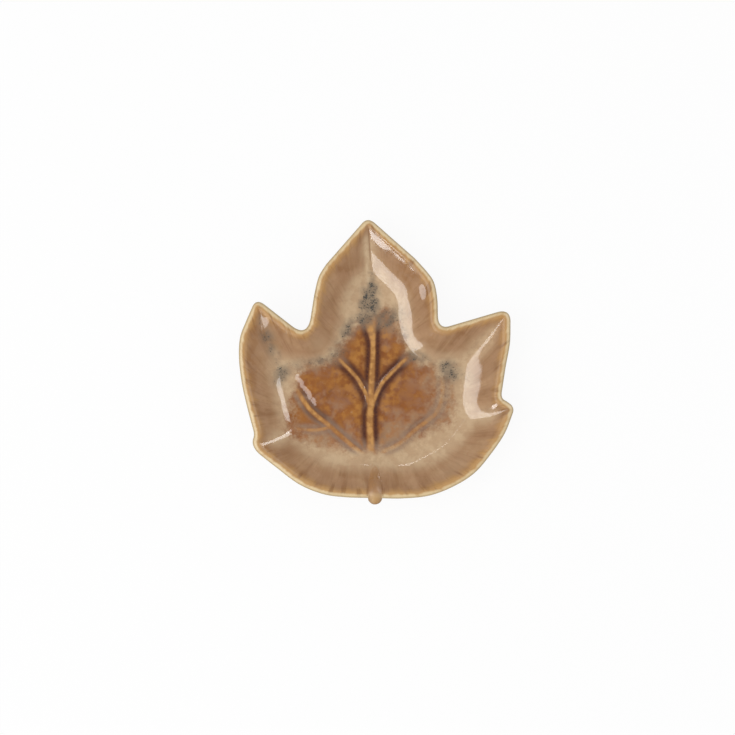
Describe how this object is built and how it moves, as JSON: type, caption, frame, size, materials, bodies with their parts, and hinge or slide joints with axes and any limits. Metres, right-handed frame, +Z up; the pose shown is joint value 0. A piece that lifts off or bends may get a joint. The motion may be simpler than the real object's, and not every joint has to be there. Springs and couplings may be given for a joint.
{
  "type": "leaf saucer",
  "caption": "Leaf-shaped glazed stoneware saucer with a raised rim, mitred sloping walls, raised veins on an amber floor, a stem nub and a bare clay foot ring",
  "frame": {"origin": "centre of the footprint, on the plane the foot ring stands on", "axes": "+Z up out of the well, +Y from the stem nub to the crown tip, +X to the right of the leaf seen from above"},
  "size_m": [0.1342, 0.1394, 0.02],
  "materials": {
    "clay": "bare fired stoneware, matt",
    "tan_glaze": "glossy tan glaze that breaks to cream on the lip",
    "amber_glaze": "glossy mottled amber glaze, dark where it pools beside the veins",
    "base_glaze": "glossy tan glaze"
  },
  "bodies": {
    "root": {"stoneware_body": "clay", "wall_glaze": "tan_glaze", "floor_glaze": "amber_glaze", "base_glaze": "base_glaze"}
  },
  "joints": []
}
